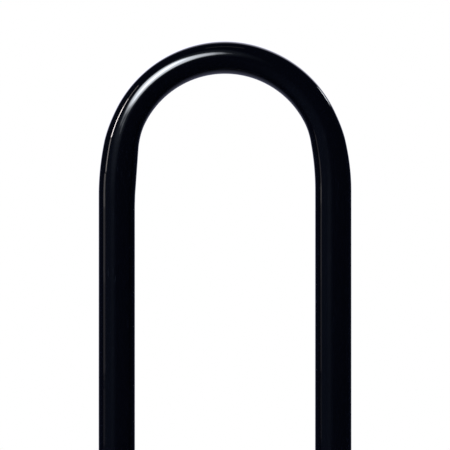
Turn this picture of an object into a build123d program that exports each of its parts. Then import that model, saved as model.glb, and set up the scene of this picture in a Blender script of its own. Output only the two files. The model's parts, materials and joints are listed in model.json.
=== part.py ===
from build123d import *

import math
import os

# A long-shackle bicycle U lock with a double-deadbolt crossbar, in millimetres.
#
# The lock stands on its crossbar: +X runs along the crossbar, +Z up the legs to the crown of the
# shackle, and the key goes in from the front, -Y. The origin is the middle of the crossbar's
# underside. The shackle is home and the key is at the unlocked stop, so both deadbolts are drawn in.

# Fits used all over.
FIT = 0.02  # a screw, pin or dowel in its hole
HUG = 0.05  # gap between pieces that are pressed or clipped together
SLIP = 0.01  # the coat and the seals on the bar
BITE = 0.1  # overlap of two shapes that are joined
PAST = 1.0  # how far a cutting shape runs past what it cuts

# Shackle: a round steel bar in a black sleeve, bent to a U.
BAR_R = 8.0
SLEEVE_R = 10.2
INSIDE_WIDTH = 101.3
INSIDE_HEIGHT = 254.0
BEND_R = 59.2
SHOULDER_TURN = 11.0
SHOULDER_STEPS = 6
CROWN_THICKNESS = 18.3
CROWN_DEPTH = 19.2
NOTCH_DEPTH = 6.2
LEG_END_Z = 6.0
LEG_CHAMFER = 1.5
NOTCH_PLAY = 0.6

# Crossbar: a thick round steel tube in a moulded cover with a flat base.
AXIS_Z = 21.5
TUBE_R = 17.0
TUBE_BORE_R = 13.0
TUBE_HALF = 82.0
COVER_R = 21.0
COVER_HALF = 74.0
COVER_CORNER_R = 8.0
CAP_END = 92.0
CAP_FILLET = 6.5
LEG_HOLE_R = 8.3
BUSH_R = 13.0
BUSH_RISE = 2.0
BUSH_FOOT = 10.5  # above the axis
BUSH_ROUND = 1.2
LEAD_IN = 1.2
LEAD_IN_FOOT_R = 8.2
LEAD_IN_R = 9.4
STOP_FLOOR_Z = 4.4
STOP_THICKNESS = 1.2
SEAL_GAP = 0.4
SEAL_HEIGHT = 5.0
SEAL_PROUD = 0.7
SEAL_ROUND = 0.6
SEAL_GROOVES = (0.36, 0.64)  # shares of the seal's height
SEAL_GROOVE_HALF = 0.3
SEAL_GROOVE_FLOOR = 0.2  # outside the sleeve's radius
SHADOW_WIDTH = 1.2  # of the groove beside each end cap
SHADOW_SHRINK = (1, 0.96, 0.957)
SHADOW_LIFT = 0.9
PLUG_INNER = 70.4
PLUG_CHAMFER = 0.8
END_PIN_X = 76.0
END_PIN_R = 2.0
END_PIN_WALL = 0.8
END_PIN_SINK = 0.2

# Front housing, with the track of the sliding dust cover across its face.
HOUSING_HALF = 44.0
HOUSING_R = 17.0
HOUSING_FRONT = -34.0
HOUSING_WALL = 3.0
TRACK_FLOOR = -29.0
TRACK_LIP = -31.6
TRACK_LEFT = -10.0
TRACK_RIGHT = 32.0
TRACK_R = 8.4
TRACK_MOUTH_R = 6.4
SCREW_X = 38.0
SCREW_R = 1.5
BADGE_X = -22.5
BADGE_HALF = 10.5
BADGE_R = 5.5
BADGE_DEPTH = 0.8
BADGE_PLAY = 0.1
BADGE_BEVEL = 0.25
HOUSING_ROUND = 3.0
HOUSING_FACE = 2.5  # thickness of the wall behind the track
BOSS_R = 3.6  # round each housing screw
COLLAR_WALL = 2.0  # round the cylinder
MOUTH_ROUND = 2.5
SCREW_SINK = 0.3
SCREW_HEAD_R = 3.1
SCREW_HEAD_DEPTH = 1.7
SCREW_SOCKET_R = 1.15
SCREW_SOCKET_DEPTH = 1.3

# Lock cylinder and core, turning about Y.
CYLINDER_R = 12.5
CYLINDER_FRONT = -28.9
CYLINDER_REAR = -8.6
CYLINDER_LIP = 1.6
MOUTH_R = 7.0
CORE_BORE_R = 9.0
CORE_R = 8.92
CORE_FRONT = -27.2
CORE_REAR = -8.0
CORE_WALL_Y = -10.9
DISC_R = 7.45
DISC_COUNT = 7
DISC_THICKNESS = 1.4
SPACER_THICKNESS = 0.5
PLATE_THICKNESS = 2.8
SIDEBAR_WIDTH = 2.0
DOWEL_X = 12.5
DOWEL_Y = -13.5
DOWEL_R = 1.5
DOWEL_HALF = 6.0
CYLINDER_BEVEL = 0.6
GROOVE_START = 3.0  # behind the cylinder's front
GROOVE_DEPTH = 1.2
GROOVE_PLAY = 0.2
TANG_HALF = 3.0
STUB_R = 2.5
STUB_LENGTH = 0.8
DISC_PLAY = 0.1
STACK_GAP = 0.15
DISC_NOTCH = 1.4
SLOT_DEPTH = 2.0  # of the barrel's slot, inside the discs' radius
SLOT_PLAY = 0.05
FALSE_NOTCH_R = 0.7
FALSE_NOTCH_START = 60  # degrees
FALSE_NOTCH_STEP = 35
SPACER_BORE_R = 4.6
PLATE_KEY_PLAY = 0.25
DISC_KEY_PLAY = 0.2
SIDEBAR_BEVEL = 0.4
SIDEBAR_FRONT_PLAY = 0.4
SIDEBAR_REAR_PLAY = 0.3
SIDEBAR_REACH = 1.3
SIDEBAR_SINK = 0.25

# Bolt work: two pins on the cam throw the two deadbolts apart.
BOLT_R = 5.0
BOLT_TRAVEL = 9.4
BOLT_TIP_OUT = 58.6
CAM_R = 9.6
CAM_FRONT = CORE_REAR
CAM_REAR = -5.5
PIN_R = 2.0
PIN_PLAY = 0.35  # each side of a cam pin in its slot
ARM_FRONT = -4.2
ARM_REAR = 1.8
ARM_TOP = 11.0  # above the axis
ARM_GAP = 0.5  # the arms stay this far above or below the axis
HEAD_INNER = 10.4
HEAD_OUTER = 14.0
GUIDE_INNER = 24.0
GUIDE_OUTER = 50.4
CARRIER_HALF = 13.4
CARRIER_Y = 2.2
CARRIER_TAP_FRONT = 5.0
CARRIER_SCREW_R = 2.0
CARRIER_SCREW_TIP = 5.6
CARRIER_HEAD_R = 3.5
CARRIER_HEAD_SINK = 0.2
CARRIER_HEAD_DEPTH = 1.9
CARRIER_HEAD_BEVEL = 0.4
CARRIER_SEAT = 2.2
CARRIER_SOCKET_R = 1.7
CARRIER_SOCKET_DEPTH = 1.4
CLIP_R = 4.1
CLIP_THICKNESS = 0.7
CLIP_GAP_HALF = 1.2
PIN_END_PLAY = 0.2
ARM_TAIL = 3.0  # past the pin
HEAD_DROP = 4.0  # below the axis
SLOT_END_PLAY = 0.4
BOLT_CHAMFER = 1.0
BOLT_FIT = 0.08
GUIDE_CHAMFER = 0.6

# Key.
BLADE_WIDTH = 7.8
BLADE_THICKNESS = 2.5
BLADE_TIP = -11.8
BOW_FRONT = -36.0
BOW_LENGTH = 27.0
BOW_WIDTH = 25.0
BOW_THICKNESS = 6.0
RING_HOLE_R = 2.75
PANEL_DEPTH = 0.5
PANEL_HALF = 8.0
PANEL_FRONT = 17.0  # both in front of the grip's inner end
PANEL_REAR = 6.0
PANEL_ROUND = 3.0
RING_HOLE_INSET = 5.5
BLADE_ENTRY = 4.0
BLADE_TIP_CHAMFER = 1.4
UPPER_CUTS = (0.9, 0.3, 1.2, 0.6, 1.3, 0.4, 0.8)
LOWER_CUTS = (0.4, 1.1, 0.5, 1.2, 0.3, 0.9, 0.6)
WARD_R = 0.45
WARD_HEIGHT = 1.2
WARD_START = 6.0
TANG_INSET = 0.3
TANG_START = 3.5
TANG_END = 13.0
TANG_MARGIN = 5.0
GRIP_SHOULDER = 4.0
GRIP_FLARE = 9.0
GRIP_TAPER = 2.0
GRIP_CORNER = 3.5
GRIP_ROUND = 1.6

# Dust cover.
COVER_PARK_X = 22.0
SLIDER_HALF = 9.5
SLIDE_PLAY = 0.3  # front and back
SLIDE_SIDE_PLAY = 0.4
PAD_HALF = 8.0
PAD_SINK = 0.5
PAD_ROUND = 2.2
RIB_PITCH = 2.4
RIB_HALF = 0.5
RIB_REACH = 4.0
RIB_PROUD = 0.5
RIB_BEVEL = 0.3
RIBS_EACH_SIDE = 2

# Places worked out from the dimensions above.
CROSSBAR_TOP = AXIS_Z + COVER_R
BUSH_TOP = CROSSBAR_TOP + BUSH_RISE
LEG_X = INSIDE_WIDTH / 2 + SLEEVE_R
TURN = math.radians(SHOULDER_TURN)
SHOULDER_R = (LEG_X - BEND_R * math.cos(TURN)) / (1 - math.cos(TURN))
CROWN_Z = CROSSBAR_TOP + INSIDE_HEIGHT + CROWN_THICKNESS / 2
BEND_Z = CROWN_Z - BEND_R
LEG_TOP_Z = BEND_Z + BEND_R * math.sin(TURN) - SHOULDER_R * math.sin(TURN)
PIN_ORBIT = BOLT_TRAVEL / math.sqrt(2)
PIN_REACH = BOLT_TRAVEL / 2  # pin's offset from the axis, across and up, at either stop
SCREW_HOLE_END = -TUBE_BORE_R - 0.5
SIDES = {"left": -1, "right": 1}


def rod(radius, start, end):
    """A round rod between two points."""
    start, end = Vector(*start), Vector(*end)
    along = end - start
    return extrude(Plane(origin=start, z_dir=along) * Circle(radius), along.length)


def block(low, high):
    """A box between two opposite corners."""
    size = [b - a for a, b in zip(low, high)]
    centre = [(a + b) / 2 for a, b in zip(low, high)]
    return Pos(*centre) * Box(*size)


def rod_y(radius, front, rear, x=0.0, z=AXIS_Z):
    """A rod that runs front to back."""
    return rod(radius, (x, front, z), (x, rear, z))


def rod_x(radius, low, high, y=0.0, z=AXIS_Z):
    """A rod that runs along the crossbar."""
    return rod(radius, (low, y, z), (high, y, z))


def rod_z(radius, low, high, x=0.0, y=0.0):
    """An upright rod."""
    return rod(radius, (x, y, low), (x, y, high))


def stadium_y(half_length, radius, front, rear, x=0.0, z=AXIS_Z):
    """A round-ended plate that faces the front, its long side along X."""
    face = Plane(origin=(x, front, z), x_dir=(1, 0, 0), z_dir=(0, 1, 0))
    return extrude(face * SlotOverall(2 * half_length, 2 * radius), rear - front)


def across(shape):
    """The same shape on the other side of the lock."""
    return mirror(shape, about=Plane.YZ)


# ---- shackle ----------------------------------------------------------------------------------


def bend(across_r, depth_r):
    """The crown: one arc from shoulder to shoulder."""
    centre_line = Axis((0, 0, BEND_Z), (0, 1, 0))
    start = shoulder_section(1, across_r, depth_r)
    return revolve(start, centre_line, revolution_arc=180 - 2 * SHOULDER_TURN)


def shoulder_section(share, across_r, depth_r):
    """A section of the left shoulder, square to the bar: share 0 at the leg, 1 at the bend."""
    angle = share * TURN
    lean, rise = SHOULDER_R * (1 - math.cos(angle)), SHOULDER_R * math.sin(angle)
    centre = (-LEG_X + lean, 0, LEG_TOP_Z + rise)
    plane = Plane(origin=centre, x_dir=(0, 1, 0), z_dir=(math.sin(angle), 0, math.cos(angle)))
    return plane * Ellipse(depth_r, across_r)


def shoulder(start, end):
    """The gentle arc between the left leg and the bend, its section changing as it climbs."""
    sections = []
    for step in range(SHOULDER_STEPS + 1):
        share = step / SHOULDER_STEPS
        eased = share * share * (3 - 2 * share)
        radii = [a + eased * (b - a) for a, b in zip(start, end)]
        sections.append(shoulder_section(share, *radii))
    return loft(sections)


def bar(radius, low_z):
    """The U-shaped bar at a given radius, with its legs cut off at low_z."""
    left = shoulder((radius, radius), (radius, radius))
    shape = bend(radius, radius) + left + across(left)
    for side in SIDES.values():
        shape += rod_z(radius, low_z, LEG_TOP_Z, x=side * LEG_X)
    return shape


def shackle_bar():
    """The hardened bar, with a chamfered foot and an inward notch on each leg."""
    shape = bar(BAR_R, LEG_END_Z)
    feet = shape.edges().group_by(Axis.Z)[0]
    shape = chamfer(feet, LEG_CHAMFER)
    half = BOLT_R + NOTCH_PLAY
    for side in SIDES.values():
        deep, shallow = LEG_X - BAR_R + NOTCH_DEPTH, LEG_X - BAR_R - PAST
        ends = sorted((side * deep, side * shallow))
        shape -= block((ends[0], -BAR_R, AXIS_Z - half), (ends[1], BAR_R, AXIS_Z + half))
    return shape


def shackle_sleeve():
    """The black sleeve: full round on the legs, drawn thinner over the bend."""
    low_z = BUSH_TOP + SEAL_GAP + SEAL_HEIGHT
    crown = (CROWN_THICKNESS / 2, CROWN_DEPTH / 2)
    left = shoulder((SLEEVE_R, SLEEVE_R), crown)
    shape = bend(*crown) + left + across(left)
    for side in SIDES.values():
        shape += rod_z(SLEEVE_R, low_z, LEG_TOP_Z, x=side * LEG_X)
    return shape - bar(BAR_R + SLIP, low_z - PAST)


def leg_seal(side):
    """The rubber ring that closes the lower end of the sleeve, with two grooves."""
    low, high = BUSH_TOP + SEAL_GAP, BUSH_TOP + SEAL_GAP + SEAL_HEIGHT
    x = side * LEG_X
    shape = rod_z(SLEEVE_R + SEAL_PROUD, low, high, x=x)
    shape = fillet(shape.edges().filter_by(GeomType.CIRCLE), SEAL_ROUND)
    for share in SEAL_GROOVES:
        z = low + share * SEAL_HEIGHT
        groove = rod_z(SLEEVE_R + PAST, z - SEAL_GROOVE_HALF, z + SEAL_GROOVE_HALF, x=x)
        shape -= groove - rod_z(SLEEVE_R + SEAL_GROOVE_FLOOR, z - PAST, z + PAST, x=x)
    return shape - rod_z(BAR_R + SLIP, low - PAST, high + PAST, x=x)


# ---- crossbar ---------------------------------------------------------------------------------


def cover_section():
    """Round on top and flat underneath, drawn across the crossbar."""
    base = Pos(0, AXIS_Z / 2) * Rectangle(2 * COVER_R, AXIS_Z)
    base = fillet(base.vertices().group_by(Axis.Y)[0], COVER_CORNER_R)
    return base + Pos(0, AXIS_Z) * Circle(COVER_R)


def cover_blank(low, high):
    """A length of the cover's outer shape."""
    start = Plane(origin=(low, 0, 0), x_dir=(0, 1, 0), z_dir=(1, 0, 0))
    return extrude(start * cover_section(), high - low)


def screw_holes(radius):
    """The line of the two housing screws, down to the tube's wall."""
    start = HOUSING_FRONT - PAST
    return [rod_y(radius, start, SCREW_HOLE_END, x=side * SCREW_X) for side in SIDES.values()]


def dowel_holes(radius):
    """The two dowels stand beside the cylinder, half in its flank."""
    low, high = AXIS_Z - DOWEL_HALF, AXIS_Z + DOWEL_HALF
    return [rod_z(radius, low, high, x=side * DOWEL_X, y=DOWEL_Y) for side in SIDES.values()]


def crossbar_tube():
    """The hardened tube, drilled for the legs, the cylinder and the pins."""
    shape = rod_x(TUBE_R, -TUBE_HALF, TUBE_HALF) - rod_x(TUBE_BORE_R, -TUBE_HALF - PAST, TUBE_HALF + PAST)
    for side in SIDES.values():
        shape -= rod_z(LEG_HOLE_R, 0, CROSSBAR_TOP, x=side * LEG_X)
        shape -= rod_z(END_PIN_R + FIT, 0, CROSSBAR_TOP, x=side * END_PIN_X)
    shape -= rod_y(CYLINDER_R + HUG, -TUBE_R - PAST, 0)
    shape -= rod_y(CARRIER_SCREW_R + FIT, 0, TUBE_R + PAST)
    for hole in screw_holes(SCREW_R + FIT) + dowel_holes(DOWEL_R + FIT):
        shape -= hole
    return shape


def crossbar_cover():
    """The moulded cover, with the leg openings on top and pockets under the legs."""
    shape = cover_blank(-COVER_HALF, COVER_HALF)
    shape -= rod_x(TUBE_R + HUG, -COVER_HALF - PAST, COVER_HALF + PAST)
    for side in SIDES.values():
        shape -= rod_z(BUSH_R + HUG, AXIS_Z, CROSSBAR_TOP + PAST, x=side * LEG_X)
        shape -= rod_z(LEG_HOLE_R, STOP_FLOOR_Z, AXIS_Z, x=side * LEG_X)
    shape -= rod_y(CYLINDER_R + HUG, -COVER_R - PAST, 0)
    shape -= rod_y(CARRIER_SCREW_R + FIT, 0, COVER_R + PAST)
    shape -= rod_y(2 * CARRIER_SCREW_R, COVER_R - CARRIER_SEAT, COVER_R + PAST)
    for hole in screw_holes(SCREW_R + FIT):
        shape -= hole
    return shape


def end_cap(side):
    """The moulded cap over one end, with a shadow groove beside the cover."""
    low, high = COVER_HALF + HUG, CAP_END
    shape = cover_blank(low, high)
    shape = fillet(shape.faces().sort_by(Axis.X)[-1].edges(), CAP_FILLET)
    shape -= rod_x(TUBE_R + HUG, low - PAST, TUBE_HALF + BITE)
    step = cover_blank(low - PAST, low + SHADOW_WIDTH)
    shape -= step - Pos(0, 0, SHADOW_LIFT) * scale(step, by=SHADOW_SHRINK)
    return shape if side > 0 else across(shape)


def end_plug(side):
    """The steel plug that closes the tube, held by a cross pin."""
    shape = rod_x(TUBE_BORE_R - HUG, PLUG_INNER, TUBE_HALF)
    shape = chamfer(shape.edges().filter_by(GeomType.CIRCLE), PLUG_CHAMFER)
    shape -= rod_z(END_PIN_R + FIT, 0, CROSSBAR_TOP, x=END_PIN_X)
    return shape if side > 0 else across(shape)


def end_pins():
    """A roll pin down through the tube and the plug at each end."""
    low, high = AXIS_Z - TUBE_R + END_PIN_SINK, AXIS_Z + TUBE_R - END_PIN_SINK
    pins = []
    for side in SIDES.values():
        x = side * END_PIN_X
        bore = rod_z(END_PIN_R - END_PIN_WALL, low - PAST, high + PAST, x=x)
        pins.append(rod_z(END_PIN_R, low, high, x=x) - bore)
    return Compound(pins)


def leg_bush(side):
    """The collar a leg enters by: its foot is saddled on the tube and its rim stands proud."""
    x = side * LEG_X
    shape = rod_z(BUSH_R, AXIS_Z + BUSH_FOOT, BUSH_TOP, x=x)
    shape = fillet(shape.edges().group_by(Axis.Z)[-1], BUSH_ROUND)
    shape -= rod_z(LEG_HOLE_R, 0, BUSH_TOP + PAST, x=x)
    lead_in = Pos(x, 0, BUSH_TOP - LEAD_IN / 2) * Cone(LEAD_IN_FOOT_R, LEAD_IN_R, LEAD_IN)
    shape -= lead_in
    return shape - rod_x(TUBE_R + HUG, -TUBE_HALF, TUBE_HALF)


def leg_stop(side):
    """The pad under a leg's foot."""
    return rod_z(BAR_R, STOP_FLOOR_Z, STOP_FLOOR_Z + STOP_THICKNESS, x=side * LEG_X)


# ---- front housing ----------------------------------------------------------------------------


def lock_housing():
    """The housing round the lock cylinder: hollow behind, with the dust cover's track in front."""
    shape = stadium_y(HOUSING_HALF, HOUSING_R, HOUSING_FRONT, 0)
    shape = fillet(shape.faces().sort_by(Axis.Y)[0].edges(), HOUSING_ROUND)
    half, radius = HOUSING_HALF - HOUSING_WALL, HOUSING_R - HOUSING_WALL
    hollow = stadium_y(half, radius, TRACK_FLOOR + HOUSING_FACE, 0)
    for side in SIDES.values():
        hollow -= rod_y(BOSS_R, HOUSING_FRONT, 0, x=side * SCREW_X)
    shape -= hollow - rod_y(CYLINDER_R + COLLAR_WALL, TRACK_FLOOR, 0)
    shape -= rod_y(CYLINDER_R + HUG, CYLINDER_FRONT - BITE, PAST)
    shape -= block((TRACK_LEFT, TRACK_LIP, AXIS_Z - TRACK_R), (TRACK_RIGHT, TRACK_FLOOR, AXIS_Z + TRACK_R))
    mouth_low = (TRACK_LEFT, HOUSING_FRONT - PAST, AXIS_Z - TRACK_MOUTH_R)
    mouth = block(mouth_low, (TRACK_RIGHT, TRACK_LIP, AXIS_Z + TRACK_MOUTH_R))
    mouth = fillet(mouth.edges().filter_by(Axis.Y), MOUTH_ROUND)
    shape -= mouth
    pocket_half, pocket_r = BADGE_HALF + BADGE_PLAY, BADGE_R + BADGE_PLAY
    floor = HOUSING_FRONT + BADGE_DEPTH
    shape -= stadium_y(pocket_half, pocket_r, HOUSING_FRONT - PAST, floor, x=BADGE_X)
    for side in SIDES.values():
        shape -= rod_y(SCREW_R + FIT, HOUSING_FRONT - PAST, 0, x=side * SCREW_X)
        shape -= screw_head(side, FIT)
    return shape - cover_blank(-COVER_HALF, COVER_HALF) - hug_of_cover()


def hug_of_cover():
    """A skin just proud of the cover, so that the housing sits against it without biting."""
    grown = Pos(0, 0, -HUG) * scale(cover_blank(-COVER_HALF, COVER_HALF), by=1 + 2 * HUG / COVER_R)
    return grown


def screw_head(side, grow=0.0):
    """The countersunk head of a housing screw, as a cone that widens to the front."""
    middle = HOUSING_FRONT + SCREW_SINK + SCREW_HEAD_DEPTH / 2
    head = Cone(SCREW_R + grow, SCREW_HEAD_R + grow, SCREW_HEAD_DEPTH)
    return Pos(side * SCREW_X, middle, AXIS_Z) * Rot(90, 0, 0) * head


def housing_screws():
    """Two countersunk screws with hexagon sockets, into the tube's wall."""
    screws = []
    for side in SIDES.values():
        x = side * SCREW_X
        neck = HOUSING_FRONT + SCREW_SINK + SCREW_HEAD_DEPTH - BITE
        shape = screw_head(side) + rod_y(SCREW_R, neck, SCREW_HOLE_END - BITE, x=x)
        face = Plane(origin=(x, HOUSING_FRONT + SCREW_SINK, AXIS_Z), x_dir=(1, 0, 0), z_dir=(0, 1, 0))
        shape -= extrude(face * RegularPolygon(SCREW_SOCKET_R, 6), SCREW_SOCKET_DEPTH)
        screws.append(shape)
    return Compound(screws)


def badge_plate():
    """A plain inlaid plate."""
    shape = stadium_y(BADGE_HALF, BADGE_R, HOUSING_FRONT, HOUSING_FRONT + BADGE_DEPTH, x=BADGE_X)
    return chamfer(shape.faces().sort_by(Axis.Y)[0].edges(), BADGE_BEVEL)


def dust_cover():
    """The slide that covers the keyway: a tongue held in the track, and a ribbed thumb pad."""
    x = COVER_PARK_X
    half = TRACK_R - SLIDE_SIDE_PLAY
    low = (x - SLIDER_HALF, TRACK_LIP + SLIDE_PLAY, AXIS_Z - half)
    tongue = block(low, (x + SLIDER_HALF, TRACK_FLOOR - SLIDE_PLAY, AXIS_Z + half))
    pad_r = TRACK_MOUTH_R - SLIDE_SIDE_PLAY
    pad_low = (x - PAD_HALF, HOUSING_FRONT + PAD_SINK, AXIS_Z - pad_r)
    pad = block(pad_low, (x + PAD_HALF, TRACK_LIP + SLIDE_PLAY, AXIS_Z + pad_r))
    pad = fillet(pad.edges().filter_by(Axis.Y), PAD_ROUND)
    shape = tongue + pad
    for step in range(-RIBS_EACH_SIDE, RIBS_EACH_SIDE + 1):
        middle = x + RIB_PITCH * step
        rib = block(
            (middle - RIB_HALF, HOUSING_FRONT - RIB_PROUD, AXIS_Z - RIB_REACH),
            (middle + RIB_HALF, HOUSING_FRONT + PAD_SINK + BITE, AXIS_Z + RIB_REACH),
        )
        shape += chamfer(rib.faces().sort_by(Axis.Y)[0].edges(), RIB_BEVEL)
    return shape


# ---- lock cylinder and core -------------------------------------------------------------------


def cylinder_body():
    """The fixed barrel, with a lip in front and a groove on top for the sidebar."""
    shape = rod_y(CYLINDER_R, CYLINDER_FRONT, CYLINDER_REAR)
    shape = chamfer(shape.faces().sort_by(Axis.Y)[0].edges(), CYLINDER_BEVEL)
    shape -= rod_y(MOUTH_R, CYLINDER_FRONT - PAST, CYLINDER_REAR + PAST)
    shape -= rod_y(CORE_BORE_R, CYLINDER_FRONT + CYLINDER_LIP, CYLINDER_REAR + PAST)
    half = SIDEBAR_WIDTH / 2 + GROOVE_PLAY
    groove_low = (-half, CYLINDER_FRONT + GROOVE_START, AXIS_Z)
    shape -= block(groove_low, (half, CORE_WALL_Y, AXIS_Z + CORE_BORE_R + GROOVE_DEPTH))
    for hole in dowel_holes(DOWEL_R + FIT):
        shape -= hole
    return shape


def keyway(front, rear, play):
    """The slot the blade passes through, upright while the lock is open."""
    half_x, half_z = BLADE_THICKNESS / 2 + play, BLADE_WIDTH / 2 + play
    return block((-half_x, front, AXIS_Z - half_z), (half_x, rear, AXIS_Z + half_z))


def sidebar_slot(front, rear, inner, play=0.0):
    """The space of the sidebar, on the right while the lock is open."""
    half = SIDEBAR_WIDTH / 2 + play
    return block((inner, front, AXIS_Z - half), (CORE_R + PAST, rear, AXIS_Z + half))


def tang(front, rear):
    """The square that the cam sits on."""
    return block((-TANG_HALF, front, AXIS_Z - TANG_HALF), (TANG_HALF, rear, AXIS_Z + TANG_HALF))


def core_barrel():
    """The turning barrel: a cup for the discs with a square tang and a stub behind."""
    shape = rod_y(CORE_R, CORE_FRONT, CORE_REAR)
    shape -= rod_y(DISC_R + DISC_PLAY, CORE_FRONT - PAST, CORE_WALL_Y)
    slot_front = CORE_FRONT + PLATE_THICKNESS + DISC_PLAY
    shape -= sidebar_slot(slot_front, CORE_WALL_Y, DISC_R - SLOT_DEPTH, SLOT_PLAY)
    shape += tang(CORE_REAR, CAM_REAR)
    return shape + rod_y(STUB_R, CAM_REAR, CAM_REAR + STUB_LENGTH)


def anti_drill_plate():
    """The hardened disc behind the mouth of the cylinder."""
    shape = rod_y(DISC_R, CORE_FRONT, CORE_FRONT + PLATE_THICKNESS)
    return shape - keyway(CORE_FRONT - PAST, CORE_FRONT + PLATE_THICKNESS + PAST, PLATE_KEY_PLAY)


def disc_front(index):
    """Where detainer disc number index starts, counted from the front."""
    first = CORE_FRONT + PLATE_THICKNESS + STACK_GAP
    return first + index * (DISC_THICKNESS + SPACER_THICKNESS)


def detainer_disc(index):
    """One coded disc, its notch lined up under the sidebar."""
    front = disc_front(index)
    rear = front + DISC_THICKNESS
    shape = rod_y(DISC_R, front, rear) - keyway(front - PAST, rear + PAST, DISC_KEY_PLAY)
    shape -= sidebar_slot(front - PAST, rear + PAST, DISC_R - DISC_NOTCH, DISC_PLAY)
    false_notch = math.radians(FALSE_NOTCH_START + FALSE_NOTCH_STEP * index)
    x, z = DISC_R * math.cos(false_notch), DISC_R * math.sin(false_notch)
    return shape - rod_y(FALSE_NOTCH_R, front - PAST, rear + PAST, x=x, z=AXIS_Z + z)


def disc_spacer(index):
    """The thin ring between two discs."""
    front = disc_front(index) + DISC_THICKNESS
    rear = front + SPACER_THICKNESS
    shape = rod_y(DISC_R, front, rear) - rod_y(SPACER_BORE_R, front - PAST, rear + PAST)
    return shape - sidebar_slot(front - PAST, rear + PAST, DISC_R - DISC_NOTCH, DISC_PLAY)


def sidebar():
    """The bar that falls into the discs' notches when they line up."""
    front = CORE_FRONT + PLATE_THICKNESS + SIDEBAR_FRONT_PLAY
    rear = CORE_WALL_Y - SIDEBAR_REAR_PLAY
    half = SIDEBAR_WIDTH / 2
    shape = block((DISC_R - SIDEBAR_REACH, front, AXIS_Z - half), (CORE_R - SIDEBAR_SINK, rear, AXIS_Z + half))
    return chamfer(shape.edges().filter_by(Axis.Y).group_by(Axis.X)[0], SIDEBAR_BEVEL)


def cam_plate():
    """The cam behind the core, on its square tang."""
    shape = rod_y(CAM_R, CAM_FRONT, CAM_REAR)
    shape -= tang(CAM_FRONT - PAST, CAM_REAR + PAST)
    for x, z in cam_pin_places():
        shape -= rod_y(PIN_R, CAM_FRONT - PAST, CAM_REAR + PAST, x=x, z=z)
    return shape


def cam_pin_places():
    """The upper pin drives the left bolt, and the lower pin the right one."""
    return [(PIN_REACH, AXIS_Z + PIN_REACH), (-PIN_REACH, AXIS_Z - PIN_REACH)]


def cam_pins():
    """The two drive pins."""
    front, rear = CAM_FRONT + PIN_END_PLAY, ARM_REAR - PIN_END_PLAY
    return Compound([rod_y(PIN_R, front, rear, x=x, z=z) for x, z in cam_pin_places()])


def cam_circlip():
    """The open ring that keeps the cam on the core's stub."""
    rear = CAM_REAR + CLIP_THICKNESS
    ring = rod_y(CLIP_R, CAM_REAR, rear) - rod_y(STUB_R, CAM_REAR - PAST, rear + PAST)
    gap_low = (-CLIP_GAP_HALF, CAM_REAR - PAST, AXIS_Z - CLIP_R - PAST)
    return ring - block(gap_low, (CLIP_GAP_HALF, rear + PAST, AXIS_Z))


def cylinder_dowels():
    """Two dowels that lock the cylinder into the tube."""
    return Compound(dowel_holes(DOWEL_R))


# ---- bolt work --------------------------------------------------------------------------------


def left_deadbolt():
    """The left bolt: a round bolt, and an arm over the axis with a slot for the upper cam pin."""
    tip = -(BOLT_TIP_OUT - BOLT_TRAVEL)
    shape = rod_x(BOLT_R, tip, -HEAD_OUTER)
    shape = chamfer(shape.faces().sort_by(Axis.X)[0].edges(), BOLT_CHAMFER)
    far_end = PIN_REACH + PIN_R + ARM_TAIL
    shape += block((-HEAD_OUTER, ARM_FRONT, AXIS_Z + ARM_GAP), (far_end, ARM_REAR, AXIS_Z + ARM_TOP))
    shape += block((-HEAD_OUTER, ARM_FRONT, AXIS_Z - HEAD_DROP), (-HEAD_INNER, ARM_REAR, AXIS_Z + ARM_TOP))
    half = PIN_R + PIN_PLAY
    slot_top = AXIS_Z + PIN_ORBIT + PIN_R + SLOT_END_PLAY
    slot_low = (PIN_REACH - half, ARM_FRONT - PAST, AXIS_Z - PAST)
    return shape - block(slot_low, (PIN_REACH + half, ARM_REAR + PAST, slot_top))


def right_deadbolt():
    """The right bolt is the left one turned half round, so that its arm runs under the axis."""
    return Pos(0, 0, AXIS_Z) * Rot(0, 180, 0) * Pos(0, 0, -AXIS_Z) * left_deadbolt()


def bolt_guide(side):
    """The block that fills the tube beside a leg and guides its bolt."""
    shape = rod_x(TUBE_BORE_R - HUG, GUIDE_INNER, GUIDE_OUTER)
    shape = chamfer(shape.edges().filter_by(GeomType.CIRCLE), GUIDE_CHAMFER)
    shape -= rod_x(BOLT_R + BOLT_FIT, GUIDE_INNER - PAST, GUIDE_OUTER + PAST)
    return shape if side > 0 else across(shape)


def mechanism_carrier():
    """The block behind the bolts' arms, tapped for its screw."""
    shape = rod_x(TUBE_BORE_R - HUG, -CARRIER_HALF, CARRIER_HALF)
    shape &= block((-CARRIER_HALF, CARRIER_Y, 0), (CARRIER_HALF, TUBE_BORE_R, CROSSBAR_TOP))
    return shape - rod_y(CARRIER_SCREW_R + FIT, CARRIER_TAP_FRONT, TUBE_R)


def carrier_screw():
    """The cap screw that holds the carrier, from behind."""
    head_rear = COVER_R - CARRIER_HEAD_SINK
    head_front = head_rear - CARRIER_HEAD_DEPTH
    shape = rod_y(CARRIER_HEAD_R, head_front, head_rear)
    shape = chamfer(shape.faces().sort_by(Axis.Y)[-1].edges(), CARRIER_HEAD_BEVEL)
    shape += rod_y(CARRIER_SCREW_R, CARRIER_SCREW_TIP, head_front)
    face = Plane(origin=(0, head_rear, AXIS_Z), x_dir=(1, 0, 0), z_dir=(0, -1, 0))
    return shape - extrude(face * RegularPolygon(CARRIER_SOCKET_R, 6), CARRIER_SOCKET_DEPTH)


# ---- key --------------------------------------------------------------------------------------


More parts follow.
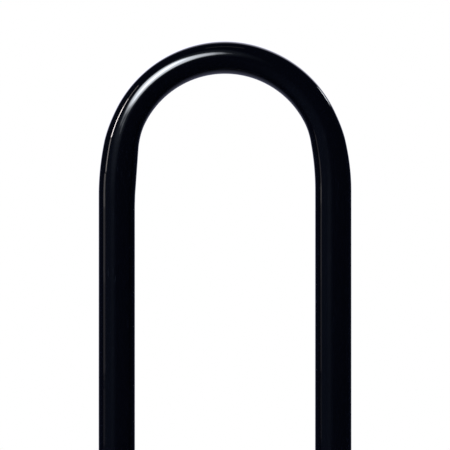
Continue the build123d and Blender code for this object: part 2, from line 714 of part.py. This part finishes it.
def key_blade():
    """The steel blade, cut along both edges, with its tang buried in the grip."""
    half_x, half_z = BLADE_THICKNESS / 2, BLADE_WIDTH / 2
    low = (-half_x, BOW_FRONT - BLADE_ENTRY, AXIS_Z - half_z)
    shape = block(low, (half_x, BLADE_TIP, AXIS_Z + half_z))
    tip_edges = shape.faces().sort_by(Axis.Y)[-1].edges().filter_by(Axis.X)
    shape = chamfer(tip_edges, BLADE_TIP_CHAMFER)
    for index in range(DISC_COUNT):
        y = disc_front(index)
        for side, depth in ((1, UPPER_CUTS[index]), (-1, LOWER_CUTS[index])):
            edge = AXIS_Z + side * half_z
            ends = sorted((edge, edge - side * depth))
            shape -= block((-half_x, y, ends[0]), (half_x, y + DISC_THICKNESS, ends[1]))
    for side in SIDES.values():
        start = BOW_FRONT + WARD_START
        shape -= rod_y(WARD_R, start, BLADE_TIP + PAST, x=side * half_x, z=AXIS_Z + WARD_HEIGHT)
    buried_half = BOW_WIDTH / 2 - TANG_MARGIN
    buried = block(
        (-half_x + TANG_INSET, BOW_FRONT - BOW_LENGTH + TANG_END, AXIS_Z - buried_half),
        (half_x - TANG_INSET, BOW_FRONT - TANG_START, AXIS_Z + buried_half),
    )
    return shape + buried


def key_grip_blank():
    """The outer shape of the grip: a rounded trapezium, its rims rounded."""
    face = Plane(origin=(-BOW_THICKNESS / 2, 0, AXIS_Z), x_dir=(0, -1, 0), z_dir=(1, 0, 0))
    narrow, wide = BOW_WIDTH / 2 - GRIP_SHOULDER, BOW_WIDTH / 2
    start = -BOW_FRONT
    end = start + BOW_LENGTH
    outline = Polygon(
        (start, -narrow),
        (start + GRIP_FLARE, -wide),
        (end, -wide + GRIP_TAPER),
        (end, wide - GRIP_TAPER),
        (start + GRIP_FLARE, wide),
        (start, narrow),
        align=None,
    )
    outline = fillet(outline.vertices(), GRIP_CORNER)
    shape = extrude(face * outline, BOW_THICKNESS)
    rims = shape.faces().filter_by(Axis.X).edges()
    return fillet(rims, GRIP_ROUND)


def key_grip():
    """The moulded grip, with a sunk panel on each side and a ring hole."""
    shape = key_grip_blank()
    panel = block(
        (BOW_THICKNESS / 2 - PANEL_DEPTH, BOW_FRONT - PANEL_FRONT, AXIS_Z - PANEL_HALF),
        (BOW_THICKNESS, BOW_FRONT - PANEL_REAR, AXIS_Z + PANEL_HALF),
    )
    panel = fillet(panel.edges().filter_by(Axis.X), PANEL_ROUND)
    hole_y = BOW_FRONT - BOW_LENGTH + RING_HOLE_INSET
    shape -= rod_x(RING_HOLE_R, -BOW_THICKNESS, BOW_THICKNESS, y=hole_y)
    return shape - panel - across(panel) - key_blade()


def build():
    """Every piece by the name of its node."""
    parts = {
        "shackle_bar": shackle_bar(),
        "shackle_sleeve": shackle_sleeve(),
        "crossbar_tube": crossbar_tube(),
        "crossbar_cover": crossbar_cover(),
        "end_pins": end_pins(),
        "lock_housing": lock_housing(),
        "housing_screws": housing_screws(),
        "badge_plate": badge_plate(),
        "dust_cover": dust_cover(),
        "cylinder_body": cylinder_body(),
        "cylinder_dowels": cylinder_dowels(),
        "core_barrel": core_barrel(),
        "anti_drill_plate": anti_drill_plate(),
        "sidebar": sidebar(),
        "cam_plate": cam_plate(),
        "cam_pins": cam_pins(),
        "cam_circlip": cam_circlip(),
        "left_deadbolt": left_deadbolt(),
        "right_deadbolt": right_deadbolt(),
        "mechanism_carrier": mechanism_carrier(),
        "carrier_screw": carrier_screw(),
        "key_blade": key_blade(),
        "key_grip": key_grip(),
    }
    for name, side in SIDES.items():
        parts[f"{name}_leg_seal"] = leg_seal(side)
        parts[f"{name}_leg_bush"] = leg_bush(side)
        parts[f"{name}_leg_stop"] = leg_stop(side)
        parts[f"{name}_end_cap"] = end_cap(side)
        parts[f"{name}_end_plug"] = end_plug(side)
        parts[f"{name}_bolt_guide"] = bolt_guide(side)
    for index in range(DISC_COUNT):
        parts[f"detainer_disc_{index + 1}"] = detainer_disc(index)
    for index in range(DISC_COUNT - 1):
        parts[f"disc_spacer_{index + 1}"] = disc_spacer(index)
    return parts


os.makedirs("parts", exist_ok=True)
for name, shape in build().items():
    export_step(shape, f"parts/{name}.step")
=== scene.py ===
import json
import math

import bmesh
import bpy
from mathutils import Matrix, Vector


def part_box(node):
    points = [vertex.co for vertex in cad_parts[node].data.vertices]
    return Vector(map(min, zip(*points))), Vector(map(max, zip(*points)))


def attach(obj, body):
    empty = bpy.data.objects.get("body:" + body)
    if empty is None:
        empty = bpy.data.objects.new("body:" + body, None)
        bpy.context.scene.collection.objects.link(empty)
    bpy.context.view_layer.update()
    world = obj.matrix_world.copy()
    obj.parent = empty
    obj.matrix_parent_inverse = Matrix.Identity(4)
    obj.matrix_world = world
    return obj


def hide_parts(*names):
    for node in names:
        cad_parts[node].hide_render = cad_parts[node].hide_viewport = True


# Looks of a black-sleeved bicycle U lock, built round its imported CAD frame. The sleeve is shaped in
# millimetres, and everything else is in metres.

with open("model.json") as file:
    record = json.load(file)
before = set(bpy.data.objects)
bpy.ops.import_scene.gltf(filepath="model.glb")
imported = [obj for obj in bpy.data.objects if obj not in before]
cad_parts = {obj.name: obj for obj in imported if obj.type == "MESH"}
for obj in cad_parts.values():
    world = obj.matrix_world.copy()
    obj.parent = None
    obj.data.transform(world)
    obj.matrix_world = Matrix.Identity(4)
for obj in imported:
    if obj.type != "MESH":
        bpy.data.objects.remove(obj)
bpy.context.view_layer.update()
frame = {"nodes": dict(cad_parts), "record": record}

MM = 0.001

# ---- the shackle's sleeve ---------------------------------------------------------------------

# From the frame, in millimetres: the sleeve's own box.
SLEEVE_LOW, SLEEVE_HIGH = [[c / MM for c in corner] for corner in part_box("shackle_sleeve")]
SLEEVE_R = SLEEVE_HIGH[1]
LEG_X = SLEEVE_HIGH[0] - SLEEVE_R

BORE_R = 8.03  # the hole for the bar
CROWN_R = 59.2  # the centre line's bend over the crown
CROWN_HALF = 9.15  # half the sleeve's thickness over the crown, in the plane of the U
CROWN_DEPTH = 9.6  # the same, from front to back
CROWN_Z = SLEEVE_HIGH[2] - CROWN_R - CROWN_HALF
SEAL_GAP = 0.05
SLEEVE_END_Z = SLEEVE_LOW[2] + SEAL_GAP
TURN_RIGHT = math.radians(12.0)  # how far the gentle shoulder between crown and leg turns
TURN_LEFT = math.radians(10.5)
FLARE = math.radians(26.0)  # lean at which the sleeve starts to swell from crown to leg
RIGHT_TRIM = 0.22  # the coat is this much thinner outside the right of the bend
TRIM_FULL = math.radians(65.0)  # lean by which that thinning is complete
CREASE_X, CREASE_Z = -48.0, 263.2  # the inner edge's crease, where the left side of the bend begins
CREASE_FOOT = (-51.15, 219.0)  # where the flat below the crease runs out into the leg
CREASE_FACING = 0.2  # the flat counts only where the coat faces it this squarely (a cosine)
CREASE_REACH = 3.0  # and where it stands no further than this outside the plain coat
RING_POINTS = 96
BEND_STEP = 1.6  # between rings, round the bend
LEG_STEP = 6.0  # and down the legs


def smooth(x, low=0.0, high=1.0):
    """An S-curve from 0 at low to 1 at high, level outside them. Low may be the larger one."""
    t = min(max((x - low) / (high - low), 0.0), 1.0)
    return t * t * (3 - 2 * t)


def side_stations(turn):
    """Places along one side, from the crown down: distance from the middle, height and lean."""
    shoulder_r = (LEG_X - CROWN_R * math.cos(turn)) / (1 - math.cos(turn))
    out = []
    steps = int(CROWN_R * (math.pi / 2 - turn) / BEND_STEP)
    for i in range(steps):
        lean = math.pi / 2 - (math.pi / 2 - turn) * i / steps
        out.append((CROWN_R * math.cos(lean), CROWN_Z + CROWN_R * math.sin(lean), lean))
    foot_z = CROWN_Z + (CROWN_R - shoulder_r) * math.sin(turn)
    middle_x = LEG_X - shoulder_r
    steps = int(shoulder_r * turn / BEND_STEP)
    for i in range(steps):
        lean = turn * (1 - i / steps)
        out.append((middle_x + shoulder_r * math.cos(lean), foot_z + shoulder_r * math.sin(lean), lean))
    steps = int((foot_z - SLEEVE_END_Z) / LEG_STEP)
    for i in range(steps + 1):
        out.append((LEG_X, foot_z + (SLEEVE_END_Z - foot_z) * i / steps, 0.0))
    return out


def left_inner(x, z, lean, plain):
    """Inner half-thickness on the left, where the coat is creased at the start of the bend."""
    normal = Vector((math.cos(lean), -math.sin(lean)))
    foot = Vector(CREASE_FOOT)
    along = Vector((CREASE_X, CREASE_Z)) - foot
    across = Vector((along.y, -along.x)).normalized()
    facing = normal.dot(across)
    if facing < CREASE_FACING:
        return plain
    reach = (foot - Vector((-x, z))).dot(across) / facing
    if z < CREASE_FOOT[1] or reach > plain + CREASE_REACH:
        return plain
    return max(reach, plain)


def sleeve_rings():
    """Every ring of the sleeve, left foot to right foot, as centre, outward normal and half sizes."""
    rings = []
    for side, turn in ((-1, TURN_LEFT), (1, TURN_RIGHT)):
        rows = []
        for x, z, lean in side_stations(turn):
            leg = smooth(1 - lean / FLARE)
            half = CROWN_HALF + (SLEEVE_R - CROWN_HALF) * leg
            depth = CROWN_DEPTH + (SLEEVE_R - CROWN_DEPTH) * leg
            inner = left_inner(x, z, lean, half) if side < 0 else half
            thinning = smooth(lean, math.pi / 2, TRIM_FULL) * (1 - leg) if side > 0 else 0.0
            outer = half - RIGHT_TRIM * thinning
            rows.append((side * x, z, side * math.cos(lean), math.sin(lean), outer, inner, depth))
        rings += rows[::-1] if side < 0 else rows[1:]
    return rings


def build_sleeve():
    """The glossy coat as one closed shell: outside, two end rims, and the bore round the bar."""
    mesh = bmesh.new()
    outside, bore = [], []
    for x, z, nx, nz, outer, inner, depth in sleeve_rings():
        ring, hole = [], []
        for i in range(RING_POINTS):
            a = 2 * math.pi * i / RING_POINTS
            reach = (outer if math.cos(a) > 0 else inner) * math.cos(a)
            spot = (x + nx * reach, depth * math.sin(a), z + nz * reach)
            ring.append(mesh.verts.new([c * MM for c in spot]))
            reach = BORE_R * math.cos(a)
            spot = (x + nx * reach, BORE_R * math.sin(a), z + nz * reach)
            hole.append(mesh.verts.new([c * MM for c in spot]))
        outside.append(ring)
        bore.append(hole)
    for rows, turned in ((outside, False), (bore, True)):
        for a, b in zip(rows, rows[1:]):
            for i in range(RING_POINTS):
                j = (i + 1) % RING_POINTS
                quad = (a[i], a[j], b[j], b[i])
                mesh.faces.new(quad[::-1] if turned else quad)
    for at, turned in ((0, True), (-1, False)):
        for i in range(RING_POINTS):
            j = (i + 1) % RING_POINTS
            quad = (outside[at][i], outside[at][j], bore[at][j], bore[at][i])
            mesh.faces.new(quad[::-1] if turned else quad)
    bmesh.ops.recalc_face_normals(mesh, faces=mesh.faces)
    data = bpy.data.meshes.new("shackle_sleeve_skin")
    mesh.to_mesh(data)
    mesh.free()
    data.polygons.foreach_set("use_smooth", [True] * len(data.polygons))
    sleeve = bpy.data.objects.new("shackle_sleeve_skin", data)
    bpy.context.scene.collection.objects.link(sleeve)
    return sleeve


# ---- materials --------------------------------------------------------------------------------


class Nodes:
    """Short names for building one node material."""

    def __init__(self, name):
        self.material = bpy.data.materials.new(name)
        self.material.use_nodes = True
        self.tree = self.material.node_tree
        self.shader = self.tree.nodes["Principled BSDF"]
        self.place = self.add("ShaderNodeTexCoord").outputs["Object"]

    def add(self, kind, **settings):
        node = self.tree.nodes.new(kind)
        for key, value in settings.items():
            setattr(node, key, value)
        return node

    def feed(self, socket, value):
        if isinstance(value, bpy.types.NodeSocket):
            self.tree.links.new(value, socket)
        else:
            socket.default_value = value

    def stretch(self, scale, turn=(0, 0, 0)):
        """The object's own coordinates, scaled along each axis."""
        node = self.add("ShaderNodeMapping")
        self.feed(node.inputs["Vector"], self.place)
        node.inputs["Rotation"].default_value = turn
        node.inputs["Scale"].default_value = scale
        return node.outputs["Vector"]

    def noise(self, scale, detail=3.0, rough=0.5, where=None, distortion=0.0):
        node = self.add("ShaderNodeTexNoise")
        self.feed(node.inputs["Vector"], where or self.place)
        node.inputs["Scale"].default_value = scale
        node.inputs["Detail"].default_value = detail
        node.inputs["Roughness"].default_value = rough
        node.inputs["Distortion"].default_value = distortion
        return node.outputs["Fac"]

    def ramp(self, value, low, high, to_low=0.0, to_high=1.0):
        node = self.add("ShaderNodeMapRange", interpolation_type="SMOOTHSTEP")
        self.feed(node.inputs["Value"], value)
        limits = {"From Min": low, "From Max": high, "To Min": to_low, "To Max": to_high}
        for key, number in limits.items():
            node.inputs[key].default_value = number
        return node.outputs["Result"]

    def math(self, operation, a, b=0.0):
        node = self.add("ShaderNodeMath", operation=operation)
        self.feed(node.inputs[0], a)
        self.feed(node.inputs[1], b)
        return node.outputs[0]

    def blend(self, factor, a, b):
        node = self.add("ShaderNodeMix", data_type="RGBA")
        self.feed(node.inputs[0], factor)
        for socket, value in ((node.inputs[6], a), (node.inputs[7], b)):
            self.feed(socket, (*value, 1.0) if isinstance(value, tuple) else value)
        return node.outputs[2]

    def bump(self, height, distance, strength=1.0, under=None):
        node = self.add("ShaderNodeBump")
        self.feed(node.inputs["Height"], height)
        node.inputs["Distance"].default_value = distance
        node.inputs["Strength"].default_value = strength
        if under is not None:
            self.feed(node.inputs["Normal"], under)
        return node.outputs["Normal"]

    def set(self, **sockets):
        for key, value in sockets.items():
            name = key.replace("_", " ")
            if isinstance(value, tuple) and len(value) == 3:
                value = (*value, 1.0)
            self.feed(self.shader.inputs[name], value)
        return self.material


def scratches(n, scale, turn, low, high):
    """Thin straight marks that come and go: stretched noise cut to its narrow peaks."""
    lines = n.noise(1.0, 1.0, 0.4, n.stretch(scale, turn))
    patches = n.ramp(n.noise(45, 2.0), 0.52, 0.68)
    return n.math("MULTIPLY", n.ramp(lines, low, high), patches)


def sleeve_material():
    """Near-black glossy coat with hairline scratches, faint smears and a slightly wavy surface."""
    n = Nodes("sleeve_black")
    smears = n.ramp(n.noise(70, 5.0, 0.65, distortion=0.6), 0.58, 0.78)
    hairs = scratches(n, (2600, 2600, 90), (0.0, 0.5, 0.3), 0.70, 0.76)
    colour = n.blend(n.math("MULTIPLY", hairs, 0.5), (0.0004, 0.0005, 0.0011), (0.012, 0.014, 0.022))
    rough = n.math("ADD", n.ramp(smears, 0.0, 1.0, 0.055, 0.11), n.math("MULTIPLY", hairs, 0.1))
    waves = n.bump(n.noise(55, 2.0), 0.00012)
    normal = n.bump(n.noise(900, 2.0), 0.0000012, 1.0, waves)
    return n.set(Base_Color=colour, Roughness=rough, Normal=normal, IOR=1.5)


def moulded_material(name, base, light, rough, grain, depth):
    """Moulded plastic: a spark-eroded grain, mottling, paler rubbed patches and thin scratches."""
    n = Nodes(name)
    mottle = n.noise(38, 4.0, 0.6)
    rubbed = n.ramp(n.noise(90, 5.0, 0.7), 0.60, 0.80)
    colour = n.blend(n.ramp(mottle, 0.3, 0.7), base, light)
    colour = n.blend(n.math("MULTIPLY", rubbed, 0.35), colour, tuple(2.2 * c + 0.004 for c in light))
    marks = scratches(n, (40, 700, 700), (0.1, 0.25, 0.4), 0.68, 0.74)
    mottled = n.ramp(mottle, 0.3, 0.7, rough - 0.05, rough + 0.06)
    roughness = n.math("ADD", mottled, n.math("MULTIPLY", marks, 0.1))
    normal = n.bump(n.noise(grain, 3.0, 0.6), depth)
    normal = n.bump(marks, -0.00001, 1.0, normal)
    return n.set(Base_Color=colour, Roughness=roughness, Normal=normal, IOR=1.48)


def rubber_material(name, base):
    """Matt rubber with bloom and a slightly pitted surface."""
    n = Nodes(name)
    bloom = n.ramp(n.noise(120, 4.0, 0.6), 0.45, 0.75)
    colour = n.blend(bloom, base, tuple(2.0 * c + 0.006 for c in base))
    rough = n.ramp(bloom, 0.0, 1.0, 0.55, 0.75)
    normal = n.bump(n.noise(2200, 2.0), 0.00003)
    return n.set(Base_Color=colour, Roughness=rough, Normal=normal)


def metal_material(name, base, dark, rough, grain, depth):
    """Worked or cast metal: marks drawn out as the grain says, and duller stains."""
    n = Nodes(name)
    lines = n.noise(1.0, 4.0, 0.7, n.stretch(grain))
    stains = n.ramp(n.noise(160, 5.0, 0.65), 0.42, 0.72)
    colour = n.blend(n.ramp(lines, 0.25, 0.75), dark, base)
    colour = n.blend(n.math("MULTIPLY", stains, 0.45), colour, tuple(0.55 * c for c in dark))
    lined = n.ramp(lines, 0.2, 0.8, rough - 0.06, rough + 0.08)
    roughness = n.math("ADD", lined, n.math("MULTIPLY", stains, 0.14))
    return n.set(Base_Color=colour, Metallic=1.0, Roughness=roughness, Normal=n.bump(lines, depth))


def blackened_material(name):
    """Black-oxide fastener steel, rubbed bright in places."""
    n = Nodes(name)
    rubbed = n.ramp(n.noise(700, 4.0, 0.7), 0.58, 0.72)
    colour = n.blend(n.math("MULTIPLY", rubbed, 0.6), (0.035, 0.036, 0.04), (0.28, 0.28, 0.29))
    rough = n.ramp(rubbed, 0.0, 1.0, 0.42, 0.28)
    normal = n.bump(n.noise(3000, 2.0), 0.000008)
    return n.set(Base_Color=colour, Metallic=0.85, Roughness=rough, Normal=normal)


# Moulded plastics: darker and lighter colour, roughness, and the scale and depth of the grain.
MOULDED = {
    "cover_black": ((0.011, 0.011, 0.013), (0.018, 0.018, 0.021), 0.46, 1500, 0.00006),
    "cap_black": ((0.014, 0.014, 0.016), (0.022, 0.022, 0.025), 0.38, 1900, 0.00004),
    "housing_black": ((0.007, 0.007, 0.009), (0.011, 0.011, 0.014), 0.24, 1300, 0.00002),
    "bush_black": ((0.008, 0.008, 0.009), (0.014, 0.014, 0.015), 0.33, 1700, 0.00002),
    "slide_black": ((0.024, 0.025, 0.029), (0.034, 0.035, 0.04), 0.30, 1500, 0.00002),
    "grip_black": ((0.010, 0.010, 0.012), (0.017, 0.017, 0.02), 0.42, 1800, 0.00005),
}

RUBBERS = {
    "seal_rubber": (0.012, 0.012, 0.013),
    "stop_rubber": (0.02, 0.02, 0.021),
}

# How a metal's marks are drawn out: long along one axis and fine across it, or alike all ways if cast.
ALONG_X = (25, 900, 900)
ALONG_Y = (900, 25, 900)
ALONG_Z = (900, 900, 25)
ALONG_BAR = (900, 900, 30)
CAST = (300, 300, 300)
FINE, COARSE = 0.000004, 0.00002

# Metals: lighter and darker colour, roughness, the run of the marks, and their depth.
METALS = {
    "hardened_steel": ((0.50, 0.50, 0.49), (0.34, 0.34, 0.34), 0.30, ALONG_BAR, FINE),
    "badge_aluminium": ((0.62, 0.63, 0.65), (0.45, 0.46, 0.48), 0.30, ALONG_X, FINE),
    "cylinder_steel": ((0.52, 0.52, 0.53), (0.38, 0.38, 0.39), 0.26, ALONG_Y, FINE),
    "core_brass": ((0.72, 0.55, 0.26), (0.52, 0.38, 0.17), 0.28, ALONG_Y, FINE),
    "disc_brass": ((0.66, 0.50, 0.24), (0.46, 0.34, 0.16), 0.34, ALONG_Z, FINE),
    "plate_steel": ((0.42, 0.42, 0.43), (0.28, 0.28, 0.29), 0.32, ALONG_X, FINE),
    "guide_zinc": ((0.40, 0.41, 0.43), (0.30, 0.31, 0.33), 0.46, CAST, COARSE),
    "bolt_steel": ((0.54, 0.54, 0.55), (0.40, 0.40, 0.41), 0.24, ALONG_X, FINE),
    "key_steel": ((0.66, 0.65, 0.63), (0.52, 0.51, 0.50), 0.25, ALONG_Y, FINE),
}


def all_materials():
    """One material for each of the record's slots."""
    made = {"sleeve_black": sleeve_material(), "fastener_steel": blackened_material("fastener_steel")}
    for name, settings in MOULDED.items():
        made[name] = moulded_material(name, *settings)
    for name, base in RUBBERS.items():
        made[name] = rubber_material(name, base)
    for name, settings in METALS.items():
        made[name] = metal_material(name, *settings)
    return made


# ---- studio -----------------------------------------------------------------------------------

# Round soft boxes far away: direction, full within and gone by (degrees), strength and colour.
LAMPS = [
    ((0.0, 0.90, 0.44), 10, 32, 1.5, (0.84, 0.84, 1.0)),
    ((-0.288, -0.829, 0.479), 7, 19, 16.0, (0.88, 0.93, 1.0)),
    ((-0.470, -0.695, 0.543), 7, 18.5, 17.0, (0.88, 0.93, 1.0)),
    ((-0.38, -0.76, 0.52), 12, 36, 0.3, (0.7, 0.82, 1.0)),
    ((0.61, 0.67, 0.42), 1.5, 4.8, 9.0, (0.9, 0.95, 1.0)),
    ((-0.2, 0.95, 0.25), 8, 20, 1.2, (0.8, 0.8, 1.0)),
    ((0.0, 0.80, -0.60), 16, 50, 0.36, (0.66, 0.68, 1.0)),
    ((-0.75, -0.6, -0.1), 8, 55, 0.065, (0.5, 0.65, 1.0)),
]
ROOM_GLOW = (0.012, 0.016, 0.036)

# Strip boxes in a column on the left: height, width, length and brightness. The upper ones stand
# further towards the camera.
STRIPS = [
    (0.72, 0.035, 0.14, 4.0),
    (0.615, 0.045, 0.07, 16.0),
    (0.50, 0.05, 0.16, 30.0),
    (0.35, 0.06, 0.12, 3.8),
    (0.255, 0.12, 0.06, 1.2),
    (0.205, 0.15, 0.06, 0.45),
    (0.145, 0.15, 0.06, 0.28),
    (0.09, 0.15, 0.04, 0.13),
]
STRIP_X = -0.60
STRIP_FORWARD_HIGH = 0.085
STRIP_FORWARD_LOW = 0.045
STRIP_SPLIT = 0.3
STRIP_COLOUR = (1.0, 0.93, 0.92)

TOP_BOX_PLACE = (0.0, -0.10, 1.5)
TOP_BOX_TARGET = (0, 0, 0.1)
TOP_BOX_SIZE = (0.42, 0.10)
TOP_BOX_POWER = 0.034
TOP_BOX_COLOUR = (1, 0.96, 0.94)

CAMERA_DISTANCE = 4.0
CAMERA_HEIGHT = 0.2115
VIEW_WIDTH = 0.253  # what the picture spans at the object
SENSOR = 36.0

FLOOR_RADIUS = 1.6
FLOOR_DROP = 0.0002  # the floor lies this far under the crossbar


def area_light(name, place, target, size, power, colour):
    """A soft box, out of the camera's own sight."""
    data = bpy.data.lights.new(name, "AREA")
    data.shape = "RECTANGLE"
    data.size, data.size_y = size
    data.energy = power
    data.color = colour
    light = bpy.data.objects.new(name, data)
    light.location = place
    light.rotation_euler = (Vector(target) - Vector(place)).to_track_quat("-Z", "Y").to_euler()
    light.visible_camera = False
    bpy.context.scene.collection.objects.link(light)


def blob(tree, direction, towards, inner, outer, strength, colour):
    """A round soft box in the sky: full within inner degrees of its middle and gone by outer."""
    dot = tree.nodes.new("ShaderNodeVectorMath")
    dot.operation = "DOT_PRODUCT"
    tree.links.new(direction, dot.inputs[0])
    dot.inputs[1].default_value = Vector(towards).normalized()
    fade = tree.nodes.new("ShaderNodeMapRange")
    fade.interpolation_type = "SMOOTHSTEP"
    tree.links.new(dot.outputs["Value"], fade.inputs["Value"])
    fade.inputs["From Min"].default_value = math.cos(math.radians(outer))
    fade.inputs["From Max"].default_value = math.cos(math.radians(inner))
    fade.inputs["To Min"].default_value = 0.0
    fade.inputs["To Max"].default_value = strength
    tint = tree.nodes.new("ShaderNodeVectorMath")
    tint.operation = "SCALE"
    tint.inputs[0].default_value = colour
    tree.links.new(fade.outputs["Result"], tint.inputs["Scale"])
    return tint.outputs["Vector"]


def build_world():
    """White paper to the camera, and to everything else a dark room hung with the lamps."""
    world = bpy.data.worlds.new("studio")
    bpy.context.scene.world = world
    world.use_nodes = True
    tree = world.node_tree
    tree.nodes.clear()
    direction = tree.nodes.new("ShaderNodeTexCoord").outputs["Generated"]
    total = None
    for towards, inner, outer, strength, colour in LAMPS:
        light = blob(tree, direction, towards, inner, outer, strength, colour)
        if total is None:
            total = light
            continue
        plus = tree.nodes.new("ShaderNodeVectorMath")
        plus.operation = "ADD"
        tree.links.new(total, plus.inputs[0])
        tree.links.new(light, plus.inputs[1])
        total = plus.outputs["Vector"]
    room = tree.nodes.new("ShaderNodeVectorMath")
    room.operation = "ADD"
    tree.links.new(total, room.inputs[0])
    room.inputs[1].default_value = ROOM_GLOW
    lit = tree.nodes.new("ShaderNodeBackground")
    tree.links.new(room.outputs["Vector"], lit.inputs["Color"])
    paper = tree.nodes.new("ShaderNodeBackground")
    paper.inputs["Color"].default_value = (1, 1, 1, 1)
    seen = tree.nodes.new("ShaderNodeLightPath")
    choose = tree.nodes.new("ShaderNodeMixShader")
    tree.links.new(seen.outputs["Is Camera Ray"], choose.inputs["Fac"])
    tree.links.new(lit.outputs["Background"], choose.inputs[1])
    tree.links.new(paper.outputs["Background"], choose.inputs[2])
    out = tree.nodes.new("ShaderNodeOutputWorld")
    tree.links.new(choose.outputs["Shader"], out.inputs["Surface"])


def build_floor():
    """A pale round table top that ends out of the camera's sight."""
    mesh = bmesh.new()
    bmesh.ops.create_circle(mesh, cap_ends=True, segments=128, radius=FLOOR_RADIUS)
    data = bpy.data.meshes.new("floor")
    mesh.to_mesh(data)
    mesh.free()
    floor = bpy.data.objects.new("floor", data)
    floor.location = (0, 0, -FLOOR_DROP)
    bpy.context.scene.collection.objects.link(floor)
    n = Nodes("floor_paper")
    fibres = n.noise(400, 4.0, 0.6)
    n.set(Base_Color=n.blend(fibres, (0.76, 0.76, 0.77), (0.80, 0.80, 0.81)), Roughness=0.75)
    data.materials.append(n.material)
    floor.visible_glossy = False


def build_camera():
    """A long lens, level with the middle of the picture."""
    data = bpy.data.cameras.new("camera")
    data.sensor_width = SENSOR
    data.lens = SENSOR * CAMERA_DISTANCE / VIEW_WIDTH
    camera = bpy.data.objects.new("camera", data)
    camera.location = (0, -CAMERA_DISTANCE, CAMERA_HEIGHT)
    camera.rotation_euler = (math.pi / 2, 0, 0)
    bpy.context.scene.collection.objects.link(camera)
    bpy.context.scene.camera = camera


def build_lights():
    """The strip boxes on the left, and a faint box overhead."""
    for number, (height, width, length, brightness) in enumerate(STRIPS):
        power = brightness * math.pi * width * length
        forward = STRIP_FORWARD_HIGH if height > STRIP_SPLIT else STRIP_FORWARD_LOW
        place = (STRIP_X, -forward, height)
        target = (0.0, 0.0, height)
        area_light(f"left_strip_{number}", place, target, (width, length), power, STRIP_COLOUR)
    area_light("top_box", TOP_BOX_PLACE, TOP_BOX_TARGET, TOP_BOX_SIZE, TOP_BOX_POWER, TOP_BOX_COLOUR)


# ---- assembly ---------------------------------------------------------------------------------

materials = all_materials()
for part in frame["record"]["subparts"]:
    piece = frame["nodes"][part["node"]]
    piece.data.materials.clear()
    piece.data.materials.append(materials[part["material_slot"]])

sleeve = build_sleeve()
sleeve.data.materials.append(materials["sleeve_black"])
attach(sleeve, "shackle")
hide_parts("shackle_sleeve")

build_floor()
build_world()
build_lights()
build_camera()
bpy.context.scene.view_settings.view_transform = "Standard"
